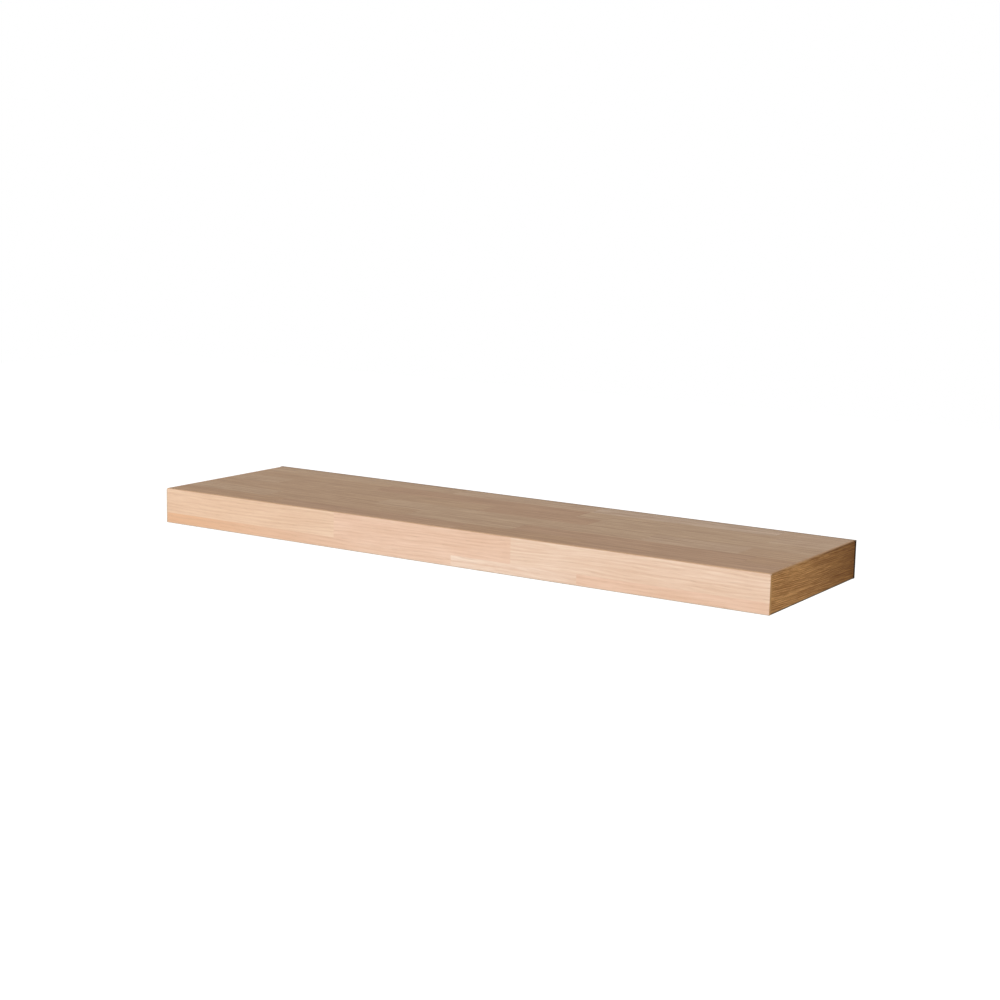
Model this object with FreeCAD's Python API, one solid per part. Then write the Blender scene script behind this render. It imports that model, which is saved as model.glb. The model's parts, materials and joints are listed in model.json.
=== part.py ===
"""Floating wall shelf: a hollow-core board that slides over the steel rods of a concealed wall bracket.

Row frame, in millimetres: +X runs along the shelf to the right, +Y points into the wall, +Z is up.
The origin is the middle of the bracket plate's back: on the wall plane, halfway up the shelf's thickness.
The script writes one STEP file per sub-part to parts/, named after its node.
"""

import FreeCAD
import Part

import math
import os

from FreeCAD import Vector

# ---- the board's outside ----
SHELF_LENGTH = 900.0
SHELF_DEPTH = 250.0
SHELF_THICKNESS = 48.0
EDGE_BAND_T = 3.2  # plastic edge band on the front and both ends
END_TOP_ROUND_R = 3.0  # rounding of the ends' upper edges
END_BOTTOM_ROUND_R = 1.2  # rounding of the ends' lower edges
FRONT_ROUND_R = 1.0  # rounding all round the front
FOIL_T = 0.4  # oak-effect foil on the two broad faces
BACK_PANEL_T = 5.0  # dark fibreboard that closes the back

# ---- the board's frame, inside its skins ----
SKIN_T = 2.6  # fibreboard sheet under each foil
FRONT_RAIL_W = 22.0
END_RAIL_W = 25.0
REAR_RAIL_W = 40.0
GUIDE_W = 42.0  # blocks that guide the rods, from the front rail to the back panel

# ---- paper honeycomb between the blocks ----
CELL_PITCH = 24.0  # from one cell's middle to the next, across the flats
PAPER_T = 0.8  # the glued double paper wall

# ---- concealed wall bracket ----
PLATE_INSET = 30.0  # from each end of the board
PLATE_HEIGHT = 32.0
PLATE_T = 4.0
PLATE_CORNER_R = 4.0
ROD_D = 12.0
ROD_LENGTH = 170.0
ROD_INSET = 120.0  # outer rods, from the plate's ends
ROD_TIP_CHAMFER = 1.5
WELD_LEG = 3.0
OUTER_SCREW_INSET = 30.0  # outer wall screws, from the plate's ends
SCREW_ROD_OFFSET = 90.0  # inner wall screws, from the rod beside them
SCREW_HOLE_D = 5.5
COUNTERSINK_D = 10.4
SCREW_HOLE_RISE = 8.0  # above the plate's middle, where the screws hold best

# ---- running clearances ----
ROD_CLEARANCE = 0.2  # round each rod
ROD_TIP_CLEARANCE = 5.0  # past each rod's tip
WINDOW_CLEARANCE = 1.5  # round the bracket plate, in the back panel
WELD_CLEARANCE = 1.0  # round each weld, in the rod guides
THREAD_CLEARANCE = 0.05  # between plain cylinders that stand for a screw and its thread
SPIGOT_CLEARANCE = 0.05  # round the pad's spigot
SPIGOT_END_CLEARANCE = 0.2  # past the pad's spigot
GRUB_CLEARANCE = 0.3  # round each locking screw, in the underside
CUT_MARGIN = 1.0  # how far a cutting tool runs past an outer face

# ---- locking screws under the outer rods ----
LOCK_SETBACK = 30.0  # from the wall plane
INSERT_D = 10.0
INSERT_LENGTH = 12.0
GRUB_D = 6.0
GRUB_RECESS = 0.3  # above the board's underside, while the screw is tight
GRUB_CHAMFER = 0.6
HEX_FLATS = 3.0
HEX_DEPTH = 3.5
PAD_D = 4.6
PAD_T = 1.6
PAD_SPIGOT_D = 2.2
PAD_SPIGOT_LENGTH = 1.2
PAD_GAP = 0.1  # between the pad and the rod

# ---- staples that hold the frame together before the skins go on ----
STAPLE_CROWN = 12.0
STAPLE_LEG = 10.0
STAPLE_WIRE_W = 1.2
STAPLE_WIRE_T = 0.8

# ---- places worked out from the sizes above ----
HALF_LENGTH = SHELF_LENGTH / 2
HALF_THICKNESS = SHELF_THICKNESS / 2
FRONT_Y = -SHELF_DEPTH
BACK_PANEL_Y = -BACK_PANEL_T  # front face of the back panel, where the board's core starts
CORE_END_X = HALF_LENGTH - EDGE_BAND_T
CORE_FRONT_Y = FRONT_Y + EDGE_BAND_T
SKIN_TOP_Z = HALF_THICKNESS - FOIL_T
FRAME_TOP_Z = SKIN_TOP_Z - SKIN_T
FRONT_RAIL_Y = CORE_FRONT_Y + FRONT_RAIL_W
REAR_RAIL_Y = BACK_PANEL_Y - REAR_RAIL_W
END_RAIL_X = CORE_END_X - END_RAIL_W
ROD_R = ROD_D / 2
ROD_BORE_R = ROD_R + ROD_CLEARANCE
ROD_TIP_Y = -PLATE_T - ROD_LENGTH
HALF_PLATE = HALF_LENGTH - PLATE_INSET
ROD_SPACING = HALF_PLATE - ROD_INSET
ROD_XS = {"left": -ROD_SPACING, "centre": 0.0, "right": ROD_SPACING}
SCREW_XS = (HALF_PLATE - OUTER_SCREW_INSET, ROD_SPACING - SCREW_ROD_OFFSET, SCREW_ROD_OFFSET)
BAYS = {
    "far_left": (-END_RAIL_X, ROD_XS["left"] - GUIDE_W / 2),
    "left": (ROD_XS["left"] + GUIDE_W / 2, ROD_XS["centre"] - GUIDE_W / 2),
    "right": (ROD_XS["centre"] + GUIDE_W / 2, ROD_XS["right"] - GUIDE_W / 2),
    "far_right": (ROD_XS["right"] + GUIDE_W / 2, END_RAIL_X),
}  # the spaces between the end rails and the rod guides, from left to right
LOCK_XS = {side: ROD_XS[side] for side in ("left", "right")}
PAD_TOP_Z = -ROD_R - PAD_GAP
GRUB_TOP_Z = PAD_TOP_Z - PAD_T


def box(x0, x1, y0, y1, z0, z1):
    """A box between two corners."""
    return Part.makeBox(x1 - x0, y1 - y0, z1 - z0, Vector(x0, y0, z0))


def rod_along_y(radius, y_back, y_front, x, z=0.0):
    """A cylinder that runs forward, along -Y."""
    return Part.makeCylinder(radius, y_back - y_front, Vector(x, y_back, z), Vector(0, -1, 0))


def cone_along_y(r_back, r_front, y_back, y_front, x, z=0.0):
    """A cone that runs forward, along -Y."""
    return Part.makeCone(r_back, r_front, y_back - y_front, Vector(x, y_back, z), Vector(0, -1, 0))


def post(radius, z0, z1, x, y):
    """An upright cylinder."""
    return Part.makeCylinder(radius, z1 - z0, Vector(x, y, z0))


def flat_wire(points, z):
    """A closed wire through points at one height."""
    return Part.makePolygon([Vector(x, y, z) for x, y in points + points[:1]])


def hexagon(x, y, flats):
    """The corners of a hexagon round (x, y), from its size across the flats."""
    corner_r = flats / math.sqrt(3)
    angles = [math.radians(60 * k) for k in range(6)]
    return [(x + corner_r * math.cos(a), y + corner_r * math.sin(a)) for a in angles]


def cut_all(shape, tools):
    """The shape with every tool cut out of it."""
    return shape.cut(Part.makeCompound(tools)) if tools else shape


def export(node, shape):
    """Writes one sub-part. A group of solids is a compound."""
    if not shape.isValid():
        raise ValueError(f"{node} is not a valid shape")
    shape.exportStep(os.path.join("parts", node + ".step"))


# ---- the board's skins, bands and back ----


def rounded_block():
    """The board in front of its back panel, with the outer edges of its bands rounded."""
    block = box(-HALF_LENGTH, HALF_LENGTH, FRONT_Y, BACK_PANEL_Y, -HALF_THICKNESS, HALF_THICKNESS)
    block = block.makeFillet(END_TOP_ROUND_R, [e for e in end_edges(block) if e.BoundBox.ZMin > 0])
    block = block.makeFillet(END_BOTTOM_ROUND_R, [e for e in end_edges(block) if e.BoundBox.ZMax < 0])
    front = [e for e in block.Edges if e.BoundBox.YMax < CORE_FRONT_Y]
    return block.makeFillet(FRONT_ROUND_R, front)


def end_edges(block):
    """The long edges that run from front to back."""
    return [e for e in block.Edges if e.BoundBox.YLength > SHELF_DEPTH / 2]


def edge_bands(block):
    """The front band covers the front ends of the two end bands."""
    z = HALF_THICKNESS
    front = box(-HALF_LENGTH, HALF_LENGTH, FRONT_Y, CORE_FRONT_Y, -z, z)
    left = box(-HALF_LENGTH, -CORE_END_X, CORE_FRONT_Y, BACK_PANEL_Y, -z, z)
    right = box(CORE_END_X, HALF_LENGTH, CORE_FRONT_Y, BACK_PANEL_Y, -z, z)
    pieces = {"front_edge_band": front, "left_edge_band": left, "right_edge_band": right}
    return {node: block.common(piece) for node, piece in pieces.items()}


def broad_faces(block):
    """Foils and skins. The lower pair has a hole for each locking screw."""
    layers = {"foil": (SKIN_TOP_Z, HALF_THICKNESS), "skin": (FRAME_TOP_Z, SKIN_TOP_Z)}
    made = {}
    for layer, (z0, z1) in layers.items():
        upper = box(-CORE_END_X, CORE_END_X, CORE_FRONT_Y, BACK_PANEL_Y, z0, z1)
        lower = box(-CORE_END_X, CORE_END_X, CORE_FRONT_Y, BACK_PANEL_Y, -z1, -z0)
        made[f"top_{layer}"] = block.common(upper)
        made[f"bottom_{layer}"] = cut_all(block.common(lower), lock_holes())
    return made


def lock_holes():
    """What the locking screws' holes cut out of the underside."""
    z0 = -HALF_THICKNESS - CUT_MARGIN
    hole_r = GRUB_D / 2 + GRUB_CLEARANCE
    return [post(hole_r, z0, -FRAME_TOP_Z, x, -LOCK_SETBACK) for x in LOCK_XS.values()]


def back_panel():
    """A frame round the bracket plate, as high and as long as the board."""
    panel = box(-HALF_LENGTH, HALF_LENGTH, BACK_PANEL_Y, 0, -HALF_THICKNESS, HALF_THICKNESS)
    x = HALF_PLATE + WINDOW_CLEARANCE
    z = PLATE_HEIGHT / 2 + WINDOW_CLEARANCE
    return panel.cut(rounded_plate(x, z, BACK_PANEL_Y, 0, PLATE_CORNER_R + WINDOW_CLEARANCE))


# ---- the frame ----


def frame_rails():
    """The rails and rod guides as plain boxes, before bores and staples."""
    z = FRAME_TOP_Z
    rails = {
        "front_rail": box(-CORE_END_X, CORE_END_X, CORE_FRONT_Y, FRONT_RAIL_Y, -z, z),
        "left_end_rail": box(-CORE_END_X, -END_RAIL_X, FRONT_RAIL_Y, BACK_PANEL_Y, -z, z),
        "right_end_rail": box(END_RAIL_X, CORE_END_X, FRONT_RAIL_Y, BACK_PANEL_Y, -z, z),
    }
    for side, x in ROD_XS.items():
        half = GUIDE_W / 2
        rails[f"{side}_rod_guide"] = box(x - half, x + half, FRONT_RAIL_Y, BACK_PANEL_Y, -z, z)
    for side, (x0, x1) in BAYS.items():
        rails[f"{side}_rear_rail"] = box(x0, x1, REAR_RAIL_Y, BACK_PANEL_Y, -z, z)
    return rails


def rod_bores():
    """The rods' bores, each with a wide mouth round the weld."""
    bore_end_y = ROD_TIP_Y - ROD_TIP_CLEARANCE
    weld_r_at_guide = ROD_R + WELD_LEG - (BACK_PANEL_T - PLATE_T)
    mouth_r = max(weld_r_at_guide + WELD_CLEARANCE, ROD_BORE_R)
    mouth_depth = mouth_r - ROD_BORE_R
    tools = []
    for x in ROD_XS.values():
        tools.append(rod_along_y(ROD_BORE_R, BACK_PANEL_Y, bore_end_y, x))
        if mouth_depth > 0:
            tools.append(cone_along_y(mouth_r, ROD_BORE_R, BACK_PANEL_Y, BACK_PANEL_Y - mouth_depth, x))
    return tools


def insert_bores():
    """Upright holes from the outer guides' undersides to their bores."""
    return [post(INSERT_D / 2, -FRAME_TOP_Z, 0, x, -LOCK_SETBACK) for x in LOCK_XS.values()]


def staple(x, y, along_x):
    """One staple over a butt joint at (x, y), flush with the frame's top, with its crown along X or Y."""
    crown, wire = STAPLE_CROWN / 2, STAPLE_WIRE_W / 2
    gap = crown - STAPLE_WIRE_T
    top, foot = FRAME_TOP_Z, FRAME_TOP_Z - STAPLE_LEG
    dx, dy, gap_x, gap_y = (crown, wire, gap, wire) if along_x else (wire, crown, wire, gap)
    outside = box(x - dx, x + dx, y - dy, y + dy, foot, top)
    return outside.cut(box(x - gap_x, x + gap_x, y - gap_y, y + gap_y, foot, top - STAPLE_WIRE_T))


def frame_staples():
    """One staple over each joint of the front rail, and one over each end of each rear rail."""
    end_x = CORE_END_X - END_RAIL_W / 2
    rear_y = (REAR_RAIL_Y + BACK_PANEL_Y) / 2
    front = [staple(x, FRONT_RAIL_Y, along_x=False) for x in (-end_x, *ROD_XS.values(), end_x)]
    return front + [staple(x, rear_y, along_x=True) for bay in BAYS.values() for x in bay]


# ---- the honeycomb ----


def clip_polygon(points, keep):
    """The part of a convex polygon inside a straight edge. keep(p) is how far p lies inside that edge."""
    kept = []
    for a, b in zip(points, points[1:] + points[:1]):
        da, db = keep(a), keep(b)
        if da >= 0:
            kept.append(a)
        if (da >= 0) != (db >= 0):
            t = da / (da - db)
            kept.append((a[0] + (b[0] - a[0]) * t, a[1] + (b[1] - a[1]) * t))
    return kept


def polygon_area(points):
    """Area of a polygon in the XY plane."""
    pairs = zip(points, points[1:] + points[:1])
    return abs(sum(a[0] * b[1] - b[0] * a[1] for a, b in pairs)) / 2


def cell_polygons(x0, x1, y0, y1):
    """Hexagonal cells over a bay, clipped to leave a paper wall along its sides."""
    x0, x1, y0, y1 = x0 + PAPER_T, x1 - PAPER_T, y0 + PAPER_T, y1 - PAPER_T
    sides = [lambda p: p[0] - x0, lambda p: x1 - p[0], lambda p: p[1] - y0, lambda p: y1 - p[1]]
    column_step = CELL_PITCH * math.sqrt(3) / 2
    mid_x, mid_y = (x0 + x1) / 2, (y0 + y1) / 2
    columns = math.ceil((x1 - x0) / 2 / column_step) + 1
    rows = math.ceil((y1 - y0) / 2 / CELL_PITCH) + 1
    least_area = CELL_PITCH * PAPER_T
    cells = []
    for i in range(-columns, columns + 1):
        for j in range(-rows, rows + 1):
            cx = mid_x + i * column_step
            cy = mid_y + (j + (i % 2) / 2) * CELL_PITCH
            cell = hexagon(cx, cy, CELL_PITCH - PAPER_T)
            for keep in sides:
                cell = clip_polygon(cell, keep) if cell else cell
            if len(cell) > 2 and polygon_area(cell) > least_area:
                cells.append(cell)
    return cells


def honeycomb(x0, x1):
    """One bay's expanded paper core, from skin to skin."""
    z = FRAME_TOP_Z
    outline = [(x0, FRONT_RAIL_Y), (x1, FRONT_RAIL_Y), (x1, REAR_RAIL_Y), (x0, REAR_RAIL_Y)]
    wires = [flat_wire(outline, -z)]
    wires += [flat_wire(cell, -z) for cell in cell_polygons(x0, x1, FRONT_RAIL_Y, REAR_RAIL_Y)]
    return Part.makeFace(wires, "Part::FaceMakerBullseye").extrude(Vector(0, 0, 2 * z))


# ---- the wall bracket ----


def rounded_plate(half_x, half_z, y0, y1, corner_r):
    """A flat plate parallel to the wall, with rounded corners."""
    plate = box(-half_x, half_x, y0, y1, -half_z, half_z)
    along_y = [e for e in plate.Edges if e.BoundBox.YLength > (y1 - y0) / 2]
    return plate.makeFillet(corner_r, along_y)


def bracket_plate():
    """The steel strip against the wall, with countersunk holes for the wall screws."""
    plate = rounded_plate(HALF_PLATE, PLATE_HEIGHT / 2, -PLATE_T, 0, PLATE_CORNER_R)
    hole_r, head_r = SCREW_HOLE_D / 2, COUNTERSINK_D / 2
    sink_y = -PLATE_T + (head_r - hole_r)
    tools = []
    for screw_x in SCREW_XS:
        for x in (-screw_x, screw_x):
            tools.append(rod_along_y(hole_r, 0, -PLATE_T, x, SCREW_HOLE_RISE))
            tools.append(cone_along_y(hole_r, head_r, sink_y, -PLATE_T, x, SCREW_HOLE_RISE))
    return cut_all(plate, tools)


def support_rod(x):
    """A steel rod that stands on the plate, with a chamfered tip."""
    rod = rod_along_y(ROD_R, -PLATE_T, ROD_TIP_Y, x)
    tip = [e for e in rod.Edges if e.BoundBox.YMax < ROD_TIP_Y + ROD_TIP_CHAMFER]
    return rod.makeChamfer(ROD_TIP_CHAMFER, tip)


def rod_weld(x):
    """The fillet weld round a rod's foot."""
    foot_y = -PLATE_T
    bead = cone_along_y(ROD_R + WELD_LEG, ROD_R, foot_y, foot_y - WELD_LEG, x)
    return bead.cut(rod_along_y(ROD_R, foot_y, foot_y - WELD_LEG, x))


# ---- the locking screws ----


def lock_insert(x):
    """The brass bush in a guide that the locking screw turns in."""
    y, z0 = -LOCK_SETBACK, -FRAME_TOP_Z
    bush = post(INSERT_D / 2, z0, z0 + INSERT_LENGTH, x, y)
    return bush.cut(post(GRUB_D / 2 + THREAD_CLEARANCE, z0, z0 + INSERT_LENGTH, x, y))


def lock_screw(x):
    """A headless screw, flush with the underside: a hex socket below, and a seat for the pad on top."""
    y, z0, z1 = -LOCK_SETBACK, -HALF_THICKNESS + GRUB_RECESS, GRUB_TOP_Z
    screw = post(GRUB_D / 2, z0, z1, x, y)
    rims = [e for e in screw.Edges if e.BoundBox.ZLength < GRUB_CHAMFER]
    screw = screw.makeChamfer(GRUB_CHAMFER, rims)
    seat_z = z1 - PAD_SPIGOT_LENGTH - SPIGOT_END_CLEARANCE
    seat = post(PAD_SPIGOT_D / 2 + SPIGOT_CLEARANCE, seat_z, z1, x, y)
    socket = Part.Face(flat_wire(hexagon(x, y, HEX_FLATS), z0)).extrude(Vector(0, 0, HEX_DEPTH))
    return cut_all(screw, [socket, seat])


def lock_pad(x):
    """The nylon pad that swivels on the screw's tip and bears on the rod."""
    y = -LOCK_SETBACK
    head = post(PAD_D / 2, GRUB_TOP_Z, PAD_TOP_Z, x, y)
    spigot = post(PAD_SPIGOT_D / 2, GRUB_TOP_Z - PAD_SPIGOT_LENGTH, GRUB_TOP_Z, x, y)
    return head.fuse(spigot).removeSplitter()


def main():
    os.makedirs("parts", exist_ok=True)
    block = rounded_block()
    nodes = {**edge_bands(block), **broad_faces(block), "back_panel": back_panel()}

    staples = frame_staples()
    cutters = rod_bores() + insert_bores() + staples
    for node, rail in frame_rails().items():
        nodes[node] = cut_all(rail, [tool for tool in cutters if tool.BoundBox.intersect(rail.BoundBox)])
    nodes["frame_staples"] = Part.makeCompound(staples)
    for side, (x0, x1) in BAYS.items():
        nodes[f"{side}_honeycomb"] = honeycomb(x0, x1)

    nodes["bracket_plate"] = bracket_plate()
    for side, x in ROD_XS.items():
        nodes[f"{side}_support_rod"] = support_rod(x)
    nodes["rod_welds"] = Part.makeCompound([rod_weld(x) for x in ROD_XS.values()])
    for side, x in LOCK_XS.items():
        nodes[f"{side}_lock_insert"] = lock_insert(x)
        nodes[f"{side}_lock_screw"] = lock_screw(x)
        nodes[f"{side}_lock_pad"] = lock_pad(x)

    for node, shape in nodes.items():
        export(node, shape)
        print(f"{node}: {len(shape.Solids)} solid(s), {shape.Volume:.1f} mm3")


main()
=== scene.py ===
"""Looks of the floating wall shelf: fine shapes, finishes, studio light and camera.

Lengths are in metres, in the CAD model's frame: +X to the right, +Y into the wall, +Z up.
The finishes' colours are written in sRGB, 0 to 255.
"""

import json
import math

import bmesh
import bpy
from mathutils import Matrix, Vector


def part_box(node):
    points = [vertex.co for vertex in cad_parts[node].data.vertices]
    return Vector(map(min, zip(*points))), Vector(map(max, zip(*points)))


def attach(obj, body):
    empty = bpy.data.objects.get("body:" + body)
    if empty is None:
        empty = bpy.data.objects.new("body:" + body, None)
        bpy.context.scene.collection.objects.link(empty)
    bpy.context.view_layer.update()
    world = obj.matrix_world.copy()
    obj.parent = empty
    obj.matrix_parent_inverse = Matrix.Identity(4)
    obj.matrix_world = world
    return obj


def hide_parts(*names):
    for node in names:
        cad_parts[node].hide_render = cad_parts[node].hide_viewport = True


MM = 0.001
X, Y, Z = 0, 1, 2

# ---- sizes of the solids that a node's box doesn't tell ----
END_TOP_R = 3.0 * MM  # rounding of the ends' upper edges
END_BOTTOM_R = 1.2 * MM  # rounding of the ends' lower edges
FRONT_R = 1.0 * MM  # rounding all round the front
SCREW_CLEARANCE = 0.3 * MM  # round a locking screw, in the lower foil

# ---- fine sizes that the solids don't hold ----
EASE = 0.12 * MM  # the break on the bands' and the foils' other edges, which draws the seams
PANEL_EASE = 0.35 * MM
PLATE_EASE = 0.5 * MM

# ---- how finely the pieces are drawn ----
ROUND_STEPS = 10  # across a rounding
TURN_STEPS = 72  # round a turned piece
EDGE_ANGLE = 50.0  # degrees: where two faces turn by more, the edge between them is eased
SAME_PLACE = 1e-7  # points closer together than this are one

# ---- camera ----
CAMERA_PLACE = (1.28164, -2.12795, 0.45560)
CAMERA_YAW, CAMERA_PITCH, CAMERA_ROLL = -32.3856, -9.9016, 1.2300  # degrees
CAMERA_LENS, CAMERA_SENSOR = 67.16, 36.0  # mm
CAMERA_REACH = 100.0  # nothing further away is drawn

# ---- stage ----
FLOOR_Z = -1.95
FLOOR_HALF = 16.0
FLOOR_TONE, FLOOR_GLOW = 0.45, 0.78  # what the floor throws back, and what the camera sees of it besides
AMBIENT = 0.40  # how strongly the surroundings light the object
LAMP_SPREAD = 60.0  # degrees
LAMPS = (  # the name of each, where its light comes from, and its strength
    ("key", (-0.62, -1.0, 0.42), 2.43),
    ("fill", (1.0, -0.35, 0.25), 0.39),
    ("back", (0.25, 1.0, 0.45), 0.45),
)

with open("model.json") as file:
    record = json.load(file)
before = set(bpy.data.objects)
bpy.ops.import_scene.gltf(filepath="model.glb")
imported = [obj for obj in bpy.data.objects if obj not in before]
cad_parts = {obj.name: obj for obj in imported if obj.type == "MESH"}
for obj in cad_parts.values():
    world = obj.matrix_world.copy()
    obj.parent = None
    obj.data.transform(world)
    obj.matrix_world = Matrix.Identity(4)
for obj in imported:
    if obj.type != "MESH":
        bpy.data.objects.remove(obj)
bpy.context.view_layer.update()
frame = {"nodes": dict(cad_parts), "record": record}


# ---- mesh helpers ----


def add_object(name, mesh):
    piece = bpy.data.objects.new(name, mesh)
    bpy.context.scene.collection.objects.link(piece)
    return piece


def finish_mesh(name, shape, hard_degrees=32.0):
    """A smooth-shaded object from a bmesh, sharp where its faces turn by more than hard_degrees."""
    bmesh.ops.remove_doubles(shape, verts=shape.verts, dist=SAME_PLACE)
    bmesh.ops.recalc_face_normals(shape, faces=shape.faces)
    for face in shape.faces:
        face.smooth = True
    for edge in shape.edges:
        edge.smooth = edge.calc_face_angle(0.0) < math.radians(hard_degrees)
    mesh = bpy.data.meshes.new(name)
    shape.to_mesh(mesh)
    shape.free()
    piece = add_object(name, mesh)
    normals = piece.modifiers.new("weighted normals", "WEIGHTED_NORMAL")
    normals.keep_sharp = True
    return piece


def lies_at(edge, **planes):
    """Whether an edge lies in every plane named, such as z=0.024."""
    places = {"x": X, "y": Y, "z": Z}
    tests = [(places[axis], value) for axis, value in planes.items()]
    return all(abs(vertex.co[i] - value) < SAME_PLACE for vertex in edge.verts for i, value in tests)


def hard_edges(shape):
    """The edges where two faces turn by more than EDGE_ANGLE."""
    return [edge for edge in shape.edges if edge.calc_face_angle(0.0) > math.radians(EDGE_ANGLE)]


def round_edges(shape, edges, radius, steps=ROUND_STEPS):
    bmesh.ops.bevel(
        shape, geom=edges, offset=radius, offset_type="OFFSET", segments=steps, profile=0.5, affect="EDGES",
        clamp_overlap=True,
    )


def block(low, high):
    """A bmesh box between two corners."""
    shape = bmesh.new()
    bmesh.ops.create_cube(shape, size=1.0)
    for vertex in shape.verts:
        vertex.co = Vector([low[i] if vertex.co[i] < 0 else high[i] for i in (X, Y, Z)])
    return shape


def foot(low, high):
    """The middle of a box's underside."""
    return ((low.x + high.x) / 2, (low.y + high.y) / 2, low.z)


def wall_side(low, high):
    """The middle of a box's side towards the wall."""
    return ((low.x + high.x) / 2, high.y, (low.z + high.z) / 2)


def ring(shape, radius, along, place, axis):
    """One ring of a turned piece: a single vertex where the radius is nothing."""
    turn = Vector((0, 0, 1)).rotation_difference(axis).to_matrix()
    if radius == 0:
        return [shape.verts.new(place + axis * along)]
    angles = [2 * math.pi * k / TURN_STEPS for k in range(TURN_STEPS)]
    points = [Vector((radius * math.cos(a), radius * math.sin(a), along)) for a in angles]
    return [shape.verts.new(place + turn @ p) for p in points]


def join_rings(shape, a, b):
    """Faces between two rings, one of which may be a single vertex."""
    count = max(len(a), len(b))
    for k in range(count):
        n = (k + 1) % count
        corners = [a[k % len(a)], a[n % len(a)], b[n % len(b)], b[k % len(b)]]
        shape.faces.new(list(dict.fromkeys(corners)))


def turned(name, profile, place, axis, closed=False):
    """A turned piece. The profile lists (radius, distance along the axis); a closed one has a bore."""
    shape = bmesh.new()
    rings = [ring(shape, r, along, Vector(place), Vector(axis)) for r, along in profile]
    for a, b in zip(rings, rings[1:] + (rings[:1] if closed else [])):
        join_rings(shape, a, b)
    return finish_mesh(name, shape, 20.0)


def dress(piece, node, finish, body):
    """A piece that stands for a CAD node, with its finish."""
    piece.data.materials.clear()
    piece.data.materials.append(finish)
    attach(piece, body)
    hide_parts(node)


# ---- finishes ----


def srgb(r, g, b):
    """A colour written in sRGB, as the linear colour that a shader takes."""
    def linear(c):
        c /= 255
        return c / 12.92 if c <= 0.04045 else ((c + 0.055) / 1.055) ** 2.4
    return (linear(r), linear(g), linear(b), 1.0)


PORE_TONE, BAND_TOP_TONE = srgb(104, 68, 40), srgb(192, 154, 120)


class Finish:
    """A procedural material, put together node by node. Values are numbers, vectors, colours or sockets."""

    def __init__(self, name, roughness, metallic=0.0, specular=0.5):
        self.material = bpy.data.materials.new(name)
        self.material.use_nodes = True
        self.tree = self.material.node_tree
        self.shader = self.tree.nodes["Principled BSDF"]
        self.shader.inputs["Roughness"].default_value = roughness
        self.shader.inputs["Metallic"].default_value = metallic
        self.shader.inputs["Specular IOR Level"].default_value = specular
        self.place = self.node("ShaderNodeTexCoord").outputs["Object"]

    def node(self, kind, settings=(), **inputs):
        node = self.tree.nodes.new(kind)
        for key, value in dict(settings).items():
            setattr(node, key, value)
        for key, value in inputs.items():
            self.feed(node.inputs[key.replace("_", " ")], value)
        return node

    def feed(self, socket, value):
        if isinstance(value, bpy.types.NodeSocket):
            self.tree.links.new(value, socket)
        else:
            socket.default_value = value

    def math(self, operation, *values):
        node = self.node("ShaderNodeMath", {"operation": operation})
        for socket, value in zip(node.inputs, values):
            self.feed(socket, value)
        return node.outputs[0]

    def stretch(self, *cells):
        """The place, scaled for noise of so many cells to the metre: one number, or one for each axis."""
        node = self.node("ShaderNodeVectorMath", {"operation": "MULTIPLY"})
        self.feed(node.inputs[0], self.place)
        self.feed(node.inputs[1], cells * 3 if len(cells) == 1 else cells)
        return node.outputs[0]

    def shift(self, vector, offset):
        node = self.node("ShaderNodeVectorMath", {"operation": "ADD"})
        self.feed(node.inputs[0], vector)
        self.feed(node.inputs[1], offset)
        return node.outputs[0]

    def axes(self, vector=None):
        """The three parts of a vector, or of the place."""
        split = self.node("ShaderNodeSeparateXYZ", Vector=vector or self.place)
        return list(split.outputs)

    def combine(self, x, y, z):
        return self.node("ShaderNodeCombineXYZ", X=x, Y=y, Z=z).outputs[0]

    def noise(self, vector, detail=2.0, rough=0.5, distortion=0.0):
        node = self.node("ShaderNodeTexNoise", Vector=vector, Scale=1.0,
                         Detail=detail, Roughness=rough, Distortion=distortion)
        return node.outputs[0]

    def spread(self, value, low, high, to_low=0.0, to_high=1.0):
        """A value's range from low to high, smoothly carried to another range."""
        node = self.node("ShaderNodeMapRange", {"interpolation_type": "SMOOTHSTEP"}, Value=value)
        for key, number in (("From Min", low), ("From Max", high), ("To Min", to_low), ("To Max", to_high)):
            node.inputs[key].default_value = number
        return node.outputs[0]

    def mix(self, factor, a, b, blend="MIX"):
        node = self.node("ShaderNodeMix", {"data_type": "RGBA", "blend_type": blend})
        colours = [socket for socket in node.inputs if socket.type == "RGBA"]
        self.feed(node.inputs[0], factor)
        self.feed(colours[0], a)
        self.feed(colours[1], b)
        return next(socket for socket in node.outputs if socket.type == "RGBA")

    def random(self, vector):
        """A random number that is the same all over each whole-numbered cell."""
        cell = self.node("ShaderNodeVectorMath", {"operation": "FLOOR"})
        self.feed(cell.inputs[0], vector)
        dice = self.node("ShaderNodeTexWhiteNoise", {"noise_dimensions": "3D"}, Vector=cell.outputs[0])
        return dice.outputs[0]

    def done(self, colour, height, depth, roughness=None):
        """The finished material, with its relief and, where it changes over the surface, its roughness."""
        self.feed(self.shader.inputs["Base Color"], colour)
        if roughness is not None:
            self.feed(self.shader.inputs["Roughness"], roughness)
        bump = self.node("ShaderNodeBump", Height=height, Strength=1.0, Distance=depth)
        self.feed(self.shader.inputs["Normal"], bump.outputs[0])
        return self.material


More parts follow.
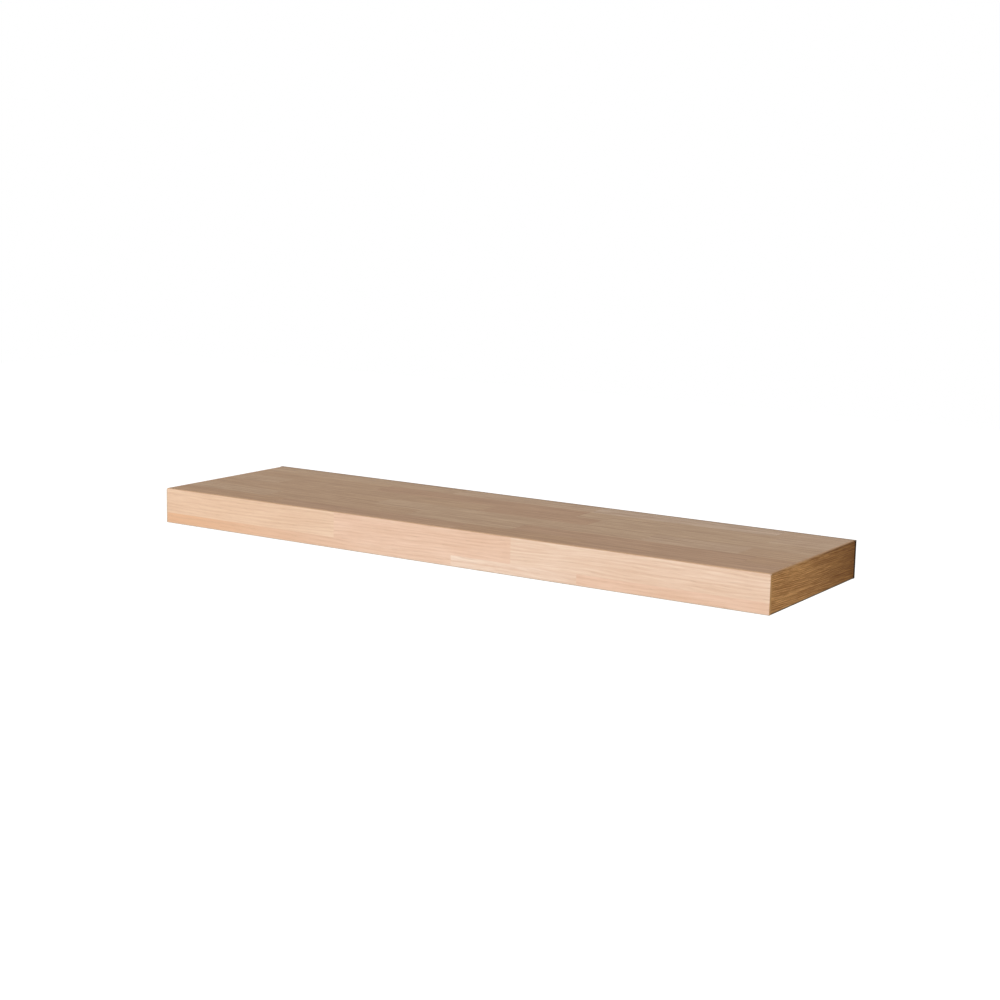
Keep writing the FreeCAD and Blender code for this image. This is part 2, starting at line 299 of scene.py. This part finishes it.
# ---- how the oak is drawn ----
ROW_NUMBERS = 10.0  # more than a row has staves, so that every stave has a number of its own
STAVE_LEAN = 0.04  # how much the grain's slope differs from stave to stave
STAVE_SHIFT = 37.0  # how far along the grain one stave's figure may lie from another's
BROAD_RINGS, WANDER_RINGS = 6.0, 1.5  # how many rings a broad wave and a small one shift the figure by
RING_PORES = 0.7  # the share of a pore that only shows on a ring
PORE_STRENGTH = 0.8  # against the streaks'
HAIR_RELIEF, PORE_DEPTH = 0.35, 0.03 * MM  # the hairs' relief, against the depth of the pores
ROUGH_RANGE = 0.10  # how much the bundles and the pores change the roughness


def staves(finish, along, across, rows):
    """The tone of the stave at each place, and the stave's number."""
    tone, number = rows[0][1][0][1], 0.0
    for row, (edge, row_staves) in enumerate(rows):
        row_tone, row_number = row_staves[0][1], ROW_NUMBERS * row
        for start, stave_tone, *length in row_staves[1:]:
            if length:
                begun = finish.spread(along, start, start + length[0])
            else:
                begun = finish.math("GREATER_THAN", along, start)
                row_number = finish.math("ADD", begun, row_number)
            row_tone = finish.mix(begun, row_tone, stave_tone)
        above = finish.math("GREATER_THAN", across, edge)
        tone = finish.mix(above, tone, row_tone)
        number = finish.math("MULTIPLY_ADD", above, finish.math("SUBTRACT", row_number, number), number)
    return tone, number


def oak(name, grain, across, rows, dark, streaks, rings, clouds, ring_gap, bend=0.4, shortness=1.0,
        fineness=1.0, slant=0.0, specular=0.30, roughness=0.58, shades=(), overlays=()):
    """Printed oak staves, with their grain along one axis and their rows across another.

    rows lists each row's lower edge, and its staves: where one begins, and its tone. A third value is a
    length over which the tone comes in with no joint, and the grain runs on.
    streaks, rings and clouds say how far each of them takes the tone towards the dark one. ring_gap is the
    distance between rings, and bend says how far the fibres follow them. shortness draws the figure
    together along the grain, fineness makes the fibres finer, and slant is the grain's slope.
    shades and overlays list an axis, the places on it between which a tone comes in, and the tone. A shade
    multiplies what is there, painting shade in, and an overlay covers it.
    """
    finish = Finish(name, roughness, specular=specular)
    place = finish.axes()
    tone, number = staves(finish, place[grain], place[across], rows)
    luck = finish.random(finish.combine(number, 0.5, 0.5))

    lean = finish.math("ADD", slant, finish.math("MULTIPLY", finish.math("SUBTRACT", luck, 0.5), STAVE_LEAN))
    level = finish.math("MULTIPLY_ADD", place[grain], lean, place[across])
    along_grain = finish.math("MULTIPLY_ADD", luck, STAVE_SHIFT, place[grain])

    def layer(along, wide, level, detail, rough=0.5, distortion=0.0):
        """Noise of so many cells to the metre along the grain and across it, different on every stave."""
        along_fibre = finish.math("MULTIPLY", along_grain, along * shortness)
        across_fibre = finish.math("MULTIPLY", level, wide)
        return finish.noise(finish.combine(along_fibre, across_fibre, luck), detail, rough, distortion)

    broad = layer(1.7, 15.0, level, detail=1.0, rough=0.4)
    wander = layer(8.0, 90.0, level, detail=2.0)
    figure = finish.math("MULTIPLY_ADD", broad, BROAD_RINGS, finish.math("MULTIPLY", wander, WANDER_RINGS))
    ring = finish.math("PINGPONG", finish.math("MULTIPLY_ADD", level, 1 / ring_gap, figure), 0.5)
    bent = finish.math("MULTIPLY_ADD", figure, ring_gap * bend, level)
    ring = finish.spread(ring, 0.12, 0.46)
    breaks = finish.spread(layer(7.0, 160.0, bent, detail=2.0), 0.32, 0.56)
    ring = finish.math("MULTIPLY", ring, breaks)
    bundles = layer(12.0, 420.0 * fineness, bent, detail=3.0, rough=0.6, distortion=0.2)
    hairs = layer(30.0, 1400.0 * fineness, bent, detail=2.0, rough=0.6)
    cloud = layer(3.5, 24.0, level, detail=2.0)
    pores = finish.spread(layer(60.0, 3200.0, bent, detail=1.0), 0.58, 0.72)
    pores = finish.math("MULTIPLY", pores, finish.math("MULTIPLY_ADD", ring, RING_PORES, 1 - RING_PORES))

    tone = finish.mix(finish.spread(cloud, 0.40, 0.75, 0.0, clouds), tone, dark)
    tone = finish.mix(finish.math("MULTIPLY", ring, rings), tone, dark)
    tone = finish.mix(finish.spread(bundles, 0.36, 0.68, 0.0, streaks), tone, dark)
    tone = finish.mix(finish.spread(hairs, 0.36, 0.66, 0.0, streaks), tone, dark)
    for blend, changes in (("MULTIPLY", shades), ("MIX", overlays)):
        for axis, begins, ends, change in changes:
            tone = finish.mix(finish.spread(place[axis], begins, ends), tone, change, blend)
    tone = finish.mix(finish.math("MULTIPLY", pores, PORE_STRENGTH * streaks), tone, PORE_TONE)
    height = finish.math("SUBTRACT", finish.math("MULTIPLY", hairs, HAIR_RELIEF), pores)
    uneven = finish.math("ADD", bundles, pores)
    rough = finish.math("MULTIPLY_ADD", uneven, ROUGH_RANGE, roughness - ROUGH_RANGE / 2)
    return finish.done(tone, height, PORE_DEPTH, rough)


def oak_foil():
    """Broad faces: rows of staves from front to back, with their grain along the shelf. Their tones hold a
    part of painted sheen, the grey of light grazing the top.
    """
    brown, pale, rosy = srgb(188, 154, 117), srgb(194, 163, 128), srgb(183, 145, 110)
    tan, sandy, ashen_sheen = srgb(182, 144, 105), srgb(197, 167, 135), srgb(205, 179, 152)
    rows = (
        (-0.250, ((-0.45, tan), (-0.27, rosy), (0.02, tan), (0.19, rosy))),
        (-0.210, ((-0.45, pale), (-0.31, brown), (-0.08, pale), (0.08, rosy), (0.395, tan))),
        (-0.170, ((-0.45, brown), (-0.16, pale), (0.24, sandy), (0.37, brown))),
        (-0.126, ((-0.45, pale), (-0.36, brown), (-0.02, rosy), (0.14, pale))),
        (-0.084, ((-0.45, brown), (-0.22, rosy), (0.10, pale), (0.37, sandy))),
        # the rear row is paler and greyer: painted sheen, which grows towards the wall
        (-0.042, ((-0.45, pale), (-0.12, sandy), (0.10, ashen_sheen), (0.36, sandy))),
    )
    return oak("oak_foil", X, Y, rows, srgb(142, 104, 73), streaks=0.50, rings=0.36, clouds=0.14,
               ring_gap=9.0 * MM)


def oak_front():
    """The front band: a narrow row of staves below a wide one. Its tones are paler than the foil's: partly
    the print's own tone, partly painted light from the strong lamp on the front.
    """
    amber, shell = srgb(234, 186, 147), srgb(244, 212, 189)
    ivory, rose = srgb(247, 223, 203), srgb(237, 201, 176)
    straw, wheat = srgb(240, 207, 177), srgb(243, 213, 185)
    peach, cream = srgb(241, 207, 183), srgb(242, 215, 192)
    rows = (
        (-0.024, ((-0.45, amber), (-0.44, shell, 0.38), (0.02, ivory), (0.20, rose))),
        (-0.0096, ((-0.45, straw), (-0.33, wheat, 0.14), (-0.162, peach), (0.107, cream))),
    )
    upper_edge = (Z, 22.9 * MM, 23.5 * MM, BAND_TOP_TONE)
    # a greyer line along the lower rounding: painted shade
    shaded_lower_edge = (Z, -22.6 * MM, -23.2 * MM, srgb(204, 180, 156))
    left_edge = (X, -447.6 * MM, -448.8 * MM, srgb(204, 182, 162))
    right_edge = (X, 449.2 * MM, 449.7 * MM, srgb(206, 156, 98))
    return oak("oak_front_band", X, Z, rows, srgb(215, 171, 138), streaks=0.26, rings=0.34, clouds=0.30,
               ring_gap=5.0 * MM, bend=0.8, shortness=1.4, specular=0.2,
               overlays=(shaded_lower_edge, upper_edge, left_edge, right_edge))


def oak_end():
    """The end bands: one stave, with short grain from front to back, darker towards the wall by painted
    shade.
    """
    rows = ((-0.024, ((-0.25, srgb(252, 193, 124)),)),)
    # painted shade: the end darkens towards the wall, and more at the wall itself
    painted_shade_towards_wall = (Y, -0.20, 0.01, srgb(184, 171, 144))
    painted_shade_at_wall = (Y, -0.028, -0.004, srgb(240, 234, 212))
    # painted shade darkening the upper rounding
    shaded_rounding = (Z, 21.0 * MM, 22.6 * MM, srgb(225, 227, 233))
    upper_edge = (Z, 22.9 * MM, 23.9 * MM, BAND_TOP_TONE)
    # a dark line along the lower rounding: painted shade
    shaded_lower_edge = (Z, -21.6 * MM, -22.4 * MM, srgb(118, 98, 70))
    return oak("oak_end_band", Y, Z, rows, srgb(136, 80, 32), streaks=0.58, rings=0.44, clouds=0.05,
               ring_gap=2.4 * MM, bend=0.3, shortness=2.0, fineness=2.3, slant=0.04, specular=0.04,
               roughness=0.6, shades=(painted_shade_towards_wall, painted_shade_at_wall, shaded_rounding), overlays=(upper_edge, shaded_lower_edge))


def pressed_fibres(finish, tones, cells, rough, distortion, low, cloud_cells):
    """Colour and relief of board pressed from fibres: a dark tone and a light one, and a third in clouds."""
    dark, light, cloudy = tones
    fibres = finish.noise(finish.stretch(cells), detail=5.0, rough=rough, distortion=distortion)
    clouds = finish.noise(finish.stretch(cloud_cells), detail=3.0)
    colour = finish.mix(finish.spread(fibres, low, 0.7), dark, light)
    return finish.mix(finish.spread(clouds, 0.4, 0.7, 0.0, 0.5), colour, cloudy), fibres


def dark_board():
    """The back panel's board, with a paler upper edge."""
    finish = Finish("dark_fibreboard", 0.8, specular=0.05)
    tones = srgb(44, 29, 17), srgb(84, 58, 38), srgb(60, 38, 22)
    colour, fibres = pressed_fibres(finish, tones, cells=420.0, rough=0.65, distortion=1.5, low=0.35,
                                    cloud_cells=45.0)
    upper_edge = finish.spread(finish.axes()[Z], 23.5 * MM, 23.9 * MM)
    colour = finish.mix(upper_edge, colour, srgb(150, 126, 104))
    return finish.done(colour, fibres, 0.08 * MM)


def fibreboard():
    finish = Finish("fibreboard", 0.78, specular=0.3)
    tones = srgb(126, 94, 62), srgb(164, 130, 92), srgb(146, 108, 74)
    colour, fibres = pressed_fibres(finish, tones, cells=700.0, rough=0.7, distortion=2.0, low=0.3,
                                    cloud_cells=60.0)
    return finish.done(colour, fibres, 0.05 * MM)


def particleboard():
    finish = Finish("particleboard", 0.8, specular=0.25)
    warp = finish.noise(finish.stretch(90.0), detail=2.0)
    place = finish.stretch(330.0, 620.0, 620.0)
    place = finish.shift(place, finish.combine(warp, finish.math("MULTIPLY", warp, 2.0), warp))
    chips = finish.node("ShaderNodeTexVoronoi", {"feature": "F1"}, Vector=place, Scale=1.0, Randomness=1.0)
    edges = finish.node("ShaderNodeTexVoronoi", {"feature": "DISTANCE_TO_EDGE"}, Vector=place, Scale=1.0)
    chip = finish.axes(chips.outputs["Color"])
    colour = finish.mix(chip[0], srgb(206, 172, 124), srgb(170, 130, 84))
    colour = finish.mix(finish.spread(chip[1], 0.75, 1.0), colour, srgb(120, 82, 50))
    gaps = finish.spread(edges.outputs["Distance"], 0.0, 0.10, 1.0, 0.0)
    colour = finish.mix(finish.math("MULTIPLY", gaps, 0.55), colour, srgb(104, 72, 44))
    height = finish.math("SUBTRACT", chip[2], gaps)
    return finish.done(colour, height, 0.15 * MM)


def kraft_paper():
    finish = Finish("kraft_paper", 0.85, specular=0.2)
    fibres = finish.noise(finish.stretch(900.0, 900.0, 260.0), detail=4.0, rough=0.7, distortion=1.0)
    colour = finish.mix(finish.spread(fibres, 0.3, 0.7), srgb(146, 108, 70), srgb(186, 146, 104))
    return finish.done(colour, fibres, 0.04 * MM)


def powder_coat():
    finish = Finish("coated_steel", 0.5, specular=0.5)
    peel = finish.noise(finish.stretch(1500.0), detail=2.0, rough=0.6)
    dust = finish.noise(finish.stretch(35.0), detail=4.0)
    colour = finish.mix(finish.spread(dust, 0.35, 0.75), srgb(22, 22, 24), srgb(36, 36, 38))
    rough = finish.spread(dust, 0.3, 0.7, 0.46, 0.54)
    return finish.done(colour, peel, 0.06 * MM, rough)


def bright_steel():
    finish = Finish("bright_steel", 0.3, metallic=1.0)
    drawn = finish.noise(finish.stretch(1800.0, 12.0, 1800.0), detail=3.0, rough=0.6)
    clouds = finish.noise(finish.stretch(70.0, 30.0, 70.0), detail=3.0)
    colour = finish.mix(finish.spread(clouds, 0.35, 0.7), srgb(166, 168, 171), srgb(140, 143, 147))
    rough = finish.spread(drawn, 0.3, 0.7, 0.28, 0.46)
    return finish.done(colour, drawn, 0.01 * MM, rough)


def weld_metal():
    finish = Finish("weld_metal", 0.45, metallic=1.0)
    scale = finish.noise(finish.stretch(500.0), detail=4.0, rough=0.7)
    colour = finish.mix(finish.spread(scale, 0.35, 0.7), srgb(150, 144, 138), srgb(96, 84, 78))
    return finish.done(colour, scale, 0.06 * MM, finish.spread(scale, 0.3, 0.7, 0.35, 0.6))


def zinc_wire():
    finish = Finish("zinc_wire", 0.4, metallic=1.0)
    spangle = finish.noise(finish.stretch(800.0, 800.0, 300.0), detail=3.0)
    colour = finish.mix(spangle, srgb(186, 188, 192), srgb(150, 152, 158))
    return finish.done(colour, spangle, 0.02 * MM)


def brass():
    finish = Finish("brass", 0.28, metallic=1.0)
    turning = finish.noise(finish.stretch(120.0, 120.0, 5200.0), detail=2.0)
    colour = finish.mix(turning, srgb(206, 168, 92), srgb(176, 136, 66))
    return finish.done(colour, turning, 0.01 * MM, finish.spread(turning, 0.3, 0.7, 0.22, 0.38))


def blackened_steel():
    finish = Finish("blackened_steel", 0.42, metallic=1.0)
    oxide = finish.noise(finish.stretch(900.0), detail=4.0, rough=0.6)
    colour = finish.mix(finish.spread(oxide, 0.3, 0.7), srgb(44, 44, 46), srgb(74, 72, 72))
    return finish.done(colour, oxide, 0.02 * MM, finish.spread(oxide, 0.3, 0.7, 0.34, 0.52))


def nylon():
    finish = Finish("nylon", 0.4, specular=0.45)
    finish.shader.inputs["Subsurface Weight"].default_value = 0.15
    finish.shader.inputs["Subsurface Radius"].default_value = (1.0 * MM, 0.9 * MM, 0.7 * MM)
    marks = finish.noise(finish.stretch(300.0, 300.0, 2500.0), detail=2.0)
    colour = finish.mix(marks, srgb(226, 222, 208), srgb(208, 202, 186))
    return finish.done(colour, marks, 0.01 * MM)


# ---- the board's outer pieces ----


def front_band(finish):
    """The front band covers the front ends of the two end bands."""
    low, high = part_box("front_edge_band")
    shape = block(low, high)
    for height, radius in ((high.z, END_TOP_R), (low.z, END_BOTTOM_R)):
        edges = [edge for edge in shape.edges if any(lies_at(edge, x=x, z=height) for x in (low.x, high.x))]
        round_edges(shape, edges, radius)
    round_edges(shape, [edge for edge in hard_edges(shape) if lies_at(edge, y=low.y)], FRONT_R)
    round_edges(shape, hard_edges(shape), EASE, 1)
    dress(finish_mesh("front_band_wrap", shape), "front_edge_band", finish, "shelf")


def end_band(side, finish):
    node = f"{side}_edge_band"
    low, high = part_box(node)
    outer = high.x if side == "right" else low.x
    shape = block(low, high)
    for height, radius in ((high.z, END_TOP_R), (low.z, END_BOTTOM_R)):
        round_edges(shape, [edge for edge in shape.edges if lies_at(edge, x=outer, z=height)], radius)
    round_edges(shape, hard_edges(shape), EASE, 1)
    dress(finish_mesh(f"{side}_end_wrap", shape), node, finish, "shelf")


def foil_sheet(side, finish):
    """A broad face's foil. The lower one has the locking screws' holes."""
    node = f"{side}_foil"
    low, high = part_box(node)
    shape = block(low, high)
    round_edges(shape, hard_edges(shape), EASE, 1)
    screw_sides = ("left", "right") if side == "bottom" else ()
    cutters = [screw_hole(screw_side, low.z) for screw_side in screw_sides]
    dress(finish_mesh(f"{side}_face_foil", drilled(shape, cutters)), node, finish, "shelf")


def screw_hole(screw_side, underside):
    """A cutter for the hole round a locking screw, with an eased mouth."""
    low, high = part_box(f"{screw_side}_lock_screw")
    middle = (low + high) / 2
    radius, reach = (high.x - low.x) / 2 + SCREW_CLEARANCE, 2 * MM
    profile = [
        (0, -reach), (radius + EASE, -reach), (radius + EASE, 0), (radius, EASE), (radius, reach), (0, reach),
    ]
    return turned("cutter", profile, (middle.x, middle.y, underside), (0, 0, 1))


def drilled(shape, cutters):
    """The bmesh with the cutters' shapes taken out of it."""
    mesh = bpy.data.meshes.new("blank")
    shape.to_mesh(mesh)
    blank = add_object("blank", mesh)
    for cutter in cutters:
        cut = blank.modifiers.new("cut", "BOOLEAN")
        cut.object, cut.operation, cut.solver = cutter, "DIFFERENCE", "EXACT"
    shape.clear()
    shape.from_mesh(applied(blank))
    for leftover in [blank] + cutters:
        bpy.data.objects.remove(leftover)
    return shape


def applied(piece):
    """A new mesh of a piece with its modifiers applied, or of a curve with its thickness."""
    depsgraph = bpy.context.evaluated_depsgraph_get()
    return bpy.data.meshes.new_from_object(piece.evaluated_get(depsgraph))


def rounded_outline(half_x, half_z, radius, steps=8):
    """Points round a rectangle with rounded corners, in the XZ plane."""
    points = []
    for quarter, (sx, sz) in enumerate(((1, 1), (-1, 1), (-1, -1), (1, -1))):
        for k in range(steps + 1):
            angle = math.radians(90 * (quarter + k / steps))
            centre = (sx * (half_x - radius), sz * (half_z - radius))
            points.append((centre[0] + radius * math.cos(angle), centre[1] + radius * math.sin(angle)))
    return points


def flat_plate(outlines, y0, y1, ease):
    """A bmesh plate parallel to the wall from its outlines, the first one outside and the rest holes."""
    curve = bpy.data.curves.new("outline", "CURVE")
    curve.dimensions, curve.fill_mode = "2D", "BOTH"
    curve.extrude, curve.bevel_depth, curve.bevel_resolution = (y1 - y0) / 2 - ease, ease, 2
    curve.offset = -ease
    for outline in outlines:
        spline = curve.splines.new("POLY")
        spline.points.add(len(outline) - 1)
        for point, (x, z) in zip(spline.points, outline):
            point.co = (x, z, 0, 1)
        spline.use_cyclic_u = True
    carrier = add_object("outline", curve)
    mesh = applied(carrier)
    bpy.data.objects.remove(carrier)
    mesh.transform(Matrix.Translation((0, (y0 + y1) / 2, 0)) @ Matrix.Rotation(math.pi / 2, 4, "X"))
    shape = bmesh.new()
    shape.from_mesh(mesh)
    bmesh.ops.remove_doubles(shape, verts=shape.verts, dist=SAME_PLACE)
    return shape


def back_frame(finish):
    """The dark panel, a frame round the bracket plate's window."""
    low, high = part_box("back_panel")
    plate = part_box("bracket_plate")[1]
    gap, window_r, corner_r, corner_steps = 1.5 * MM, 5.5 * MM, 0.4 * MM, 2
    window = rounded_outline(plate.x + gap, plate.z + gap, window_r)
    outside = rounded_outline(high.x, high.z, corner_r, corner_steps)
    shape = flat_plate([outside, window], low.y, high.y, PANEL_EASE)
    dress(finish_mesh("back_board", shape), "back_panel", finish, "shelf")


# ---- the wall bracket ----


def wall_plate(finish):
    """The bracket's steel strip, with a countersunk hole for each wall screw."""
    low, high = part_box("bracket_plate")
    corner_r, depth = 4.0 * MM, high.y - low.y
    shape = flat_plate([rounded_outline(high.x, high.z, corner_r)], low.y, high.y, PLATE_EASE)
    hole_r, head_r, flare, past = 2.75 * MM, 5.2 * MM, 0.3 * MM, 1 * MM
    profile = [
        (0, -past), (head_r + flare + past, -past), (head_r + flare, 0), (head_r, flare),
        (hole_r, flare + head_r - hole_r), (hole_r, depth - flare), (hole_r + flare, depth),
        (hole_r + flare, depth + past), (0, depth + past),
    ]
    cutters = []
    for mount in frame["record"]["mounts"]:
        if mount["kind"] == "bolt_pattern":
            reach = mount["dims"]["spacing_x_mm"] / 2 * MM
            for x in (-reach, reach):
                cutters.append(turned("cutter", profile, (x, low.y, mount["pos_m"][Z]), (0, 1, 0)))
    dress(finish_mesh("wall_plate", drilled(shape, cutters)), "bracket_plate", finish, "wall_bracket")


def support_rod(side, finish):
    """A drawn rod with a chamfered tip, and the lathe's centre hole in it."""
    node = f"{side}_support_rod"
    low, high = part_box(node)
    radius, length, chamfer, ease = (high.x - low.x) / 2, high.y - low.y, 1.5 * MM, 0.2 * MM
    centre_r, centre_depth = 1.5 * MM, 1.6 * MM
    profile = [
        (0, 0), (radius, 0), (radius, length - chamfer - ease),
        (radius - ease / 2, length - chamfer + ease / 2), (radius - chamfer + ease / 2, length - ease / 2),
        (radius - chamfer - ease, length), (centre_r, length), (0, length - centre_depth),
    ]
    rod = turned(f"{side}_turned_rod", profile, wall_side(low, high), (0, -1, 0))
    dress(rod, node, finish, "wall_bracket")


def weld_beads(finish):
    """A rippled fillet round each rod's foot."""
    ripples, steps, arc_steps = 26, 208, 8
    leg, belly, ripple, sunk = 3.0 * MM, 0.25 * MM, 0.22 * MM, 0.05 * MM
    shape = bmesh.new()
    for side in ("left", "centre", "right"):
        low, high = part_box(f"{side}_support_rod")
        rod_r, middle = (high.x - low.x) / 2, Vector(wall_side(low, high))
        rings = []
        for k in range(steps):
            turn = 2 * math.pi * k / steps
            crest = abs(math.sin(ripples * turn / 2)) * ripple
            out = Vector((math.cos(turn), 0, math.sin(turn)))
            section = [middle + out * (rod_r - sunk)]
            for i in range(arc_steps + 1):
                t = i / arc_steps
                bulge = math.sin(math.pi * t) * (belly + crest) / math.sqrt(2)
                reach, rise = rod_r + leg * (1 - t) + bulge, leg * t + bulge
                section.append(middle + out * reach + Vector((0, -rise, 0)))
            section.append(middle + out * (rod_r - sunk) + Vector((0, -leg, 0)))
            rings.append([shape.verts.new(p) for p in section])
        for a, b in zip(rings, rings[1:] + rings[:1]):
            join_rings(shape, a, b)
    dress(finish_mesh("weld_beads", shape, 60.0), "rod_welds", finish, "wall_bracket")


# ---- the locking screws ----

THREAD_PITCH, THREAD_DEPTH = 1.0 * MM, 0.55 * MM
THREAD_STEPS, THREAD_ROWS = 48, 12  # round the screw, and up each pitch
THREAD_PEAK, THREAD_SLOPE = 1.15, 2.5  # the flanks would meet above the crest, which is cut flat at 1


def lock_screw(side, finish):
    """A headless M6 screw with its thread, its hex socket and the pad's seat."""
    node = f"{side}_lock_screw"
    low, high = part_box(node)
    radius, length, chamfer = (high.x - low.x) / 2, high.z - low.z, 0.6 * MM
    place = Vector(foot(low, high))
    socket_flats, socket_depth, socket_ease, drill_point = 3.0 * MM, 3.5 * MM, 0.15 * MM, 0.6 * MM
    seat_r, seat_depth = 1.15 * MM, 1.4 * MM
    shape = bmesh.new()
    angles = [2 * math.pi * k / THREAD_STEPS for k in range(THREAD_STEPS)]

    def point(z):
        return [shape.verts.new(place + Vector((0, 0, z)))]

    def loop(reach, z):
        """Points round the axis, at a distance that goes by the angle."""
        points = [Vector((reach(a) * math.cos(a), reach(a) * math.sin(a), z)) for a in angles]
        return [shape.verts.new(place + p) for p in points]

    def thread(z):
        def reach(angle):
            phase = (z / THREAD_PITCH - angle / (2 * math.pi)) % 1.0
            crest = min(1.0, max(0.0, THREAD_PEAK - THREAD_SLOPE * abs(phase - 0.5)))
            room = radius - chamfer + min(z, length - z)
            return min(radius - THREAD_DEPTH * (1 - crest), room)
        return reach

    def hexagon(angle):
        offset = (angle + math.pi / 6) % (math.pi / 3) - math.pi / 6
        return socket_flats / 2 / math.cos(offset)

    rows = round(length / THREAD_PITCH * THREAD_ROWS)
    loops = [
        point(socket_depth + drill_point), loop(hexagon, socket_depth), loop(hexagon, socket_ease),
        loop(lambda a: hexagon(a) + socket_ease, 0.0),
    ]
    loops += [loop(thread(length * k / rows), length * k / rows) for k in range(rows + 1)]
    loops += [loop(lambda a: seat_r, length), loop(lambda a: seat_r, length - seat_depth)]
    loops.append(point(length - seat_depth))
    for a, b in zip(loops, loops[1:]):
        join_rings(shape, a, b)
    dress(finish_mesh(f"{side}_grub_screw", shape, 40.0), node, finish, f"{side}_screw")


def lock_pad(side, finish):
    """A nylon pad, with the spigot that sits in the screw."""
    node = f"{side}_lock_pad"
    low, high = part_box(node)
    radius, length, ease = (high.x - low.x) / 2, high.z - low.z, 0.25 * MM
    spigot_r, spigot = 1.1 * MM, 1.2 * MM
    profile = [
        (0, 0), (spigot_r - ease, 0), (spigot_r, ease), (spigot_r, spigot), (radius - ease / 2, spigot),
        (radius, spigot + ease / 2), (radius, length - ease), (radius - ease, length), (0, length),
    ]
    dress(turned(f"{side}_nylon_pad", profile, foot(low, high), (0, 0, 1)), node, finish, f"{side}_pad")


def lock_insert(side, finish):
    """A brass bush, with its coarse outer thread drawn as grooves."""
    node = f"{side}_lock_insert"
    low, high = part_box(node)
    radius, length, bore_r = (high.x - low.x) / 2, high.z - low.z, 3.05 * MM
    groove, pitch, ease = 0.7 * MM, 2.0 * MM, 0.3 * MM
    first, bottom, width = 0.75, 0.35, 0.7  # in pitches: the first groove's start, and where each is deepest
    profile = [(bore_r + ease, 0), (radius - ease, 0), (radius, ease)]
    for k in range(int(length / pitch) - 1):
        z = pitch * (k + first)
        profile += [(radius, z), (radius - groove, z + pitch * bottom), (radius, z + pitch * width)]
    profile += [(radius, length - ease), (radius - ease, length), (bore_r + ease, length)]
    profile += [(bore_r, length - ease), (bore_r, ease)]
    bush = turned(f"{side}_brass_bush", profile, foot(low, high), (0, 0, 1), closed=True)
    dress(bush, node, finish, "shelf")


# ---- CAD pieces that stay, with a better finish ----


def finish_nodes(finishes):
    """Gives each CAD node that no piece replaces the finish of its material slot."""
    for part in frame["record"]["subparts"]:
        if part["material_slot"] in finishes:
            node = frame["nodes"][part["node"]]
            node.data.materials.clear()
            node.data.materials.append(finishes[part["material_slot"]])


# ---- stage, light and camera ----


def floor():
    """A white floor: it keeps the object's shadow, and shows as white to the camera and in reflections."""
    mesh = bpy.data.meshes.new("studio_floor")
    corners = [(x * FLOOR_HALF, y * FLOOR_HALF, FLOOR_Z) for x, y in ((-1, -1), (1, -1), (1, 1), (-1, 1))]
    mesh.from_pydata(corners, [], [(0, 1, 2, 3)])
    piece = add_object("studio_floor", mesh)
    material = bpy.data.materials.new("studio_floor")
    material.use_nodes = True
    tree = material.node_tree
    shader = tree.nodes["Principled BSDF"]
    shader.inputs["Base Color"].default_value = (FLOOR_TONE, FLOOR_TONE, FLOOR_TONE, 1)
    shader.inputs["Roughness"].default_value = 0.9
    shader.inputs["Specular IOR Level"].default_value = 0.0
    tree.links.new(seen(tree, FLOOR_GLOW), shader.inputs["Emission Strength"])
    shader.inputs["Emission Color"].default_value = (1, 1, 1, 1)
    piece.data.materials.append(material)


def seen(tree, strength, otherwise=0.0):
    """A strength for what the camera, reflections and glass show, and another for the light that it gives."""
    path = tree.nodes.new("ShaderNodeLightPath")
    total = path.outputs["Is Camera Ray"]
    for name in ("Is Glossy Ray", "Is Transmission Ray"):
        add = tree.nodes.new("ShaderNodeMath")
        add.operation, add.use_clamp = "ADD", True
        tree.links.new(total, add.inputs[0])
        tree.links.new(path.outputs[name], add.inputs[1])
        total = add.outputs[0]
    scale = tree.nodes.new("ShaderNodeMapRange")
    tree.links.new(total, scale.inputs["Value"])
    scale.inputs["To Min"].default_value = otherwise
    scale.inputs["To Max"].default_value = strength
    return scale.outputs[0]


def surroundings():
    """A white world that lights the object from all sides."""
    world = bpy.data.worlds.new("studio")
    world.use_nodes = True
    bpy.context.scene.world = world
    tree = world.node_tree
    background = tree.nodes["Background"]
    background.inputs["Color"].default_value = (1, 1, 1, 1)
    tree.links.new(seen(tree, 1.0, AMBIENT), background.inputs["Strength"])


def soft_sun(name, towards, strength):
    light = bpy.data.lights.new(name, "SUN")
    light.energy, light.angle = strength, math.radians(LAMP_SPREAD)
    lamp = add_object(name, light)
    lamp.rotation_euler = Vector(towards).to_track_quat("Z", "Y").to_euler()


def camera():
    data = bpy.data.cameras.new("camera")
    data.lens, data.sensor_width, data.clip_end = CAMERA_LENS, CAMERA_SENSOR, CAMERA_REACH
    piece = add_object("camera", data)
    yaw = Matrix.Rotation(math.radians(-CAMERA_YAW), 4, "Z")
    pitch = Matrix.Rotation(math.radians(90 + CAMERA_PITCH), 4, "X")
    roll = Matrix.Rotation(math.radians(CAMERA_ROLL), 4, "Z")
    piece.matrix_world = Matrix.Translation(CAMERA_PLACE) @ yaw @ pitch @ roll
    bpy.context.scene.camera = piece


def main():
    camera()
    floor()
    surroundings()
    for lamp in LAMPS:
        soft_sun(*lamp)

    foil = oak_foil()
    front_band(oak_front())
    end_finish = oak_end()
    for side in ("left", "right"):
        end_band(side, end_finish)
    for side in ("top", "bottom"):
        foil_sheet(side, foil)
    back_frame(dark_board())

    wall_plate(powder_coat())
    steel = bright_steel()
    for side in ("left", "centre", "right"):
        support_rod(side, steel)
    weld_beads(weld_metal())

    black, white, yellow = blackened_steel(), nylon(), brass()
    for side in ("left", "right"):
        lock_screw(side, black)
        lock_pad(side, white)
        lock_insert(side, yellow)

    finish_nodes({
        "fibreboard": fibreboard(), "particleboard": particleboard(), "kraft_paper": kraft_paper(),
        "zinc_wire": zinc_wire(),
    })

    view = bpy.context.scene.view_settings
    view.view_transform = "Standard"


main()
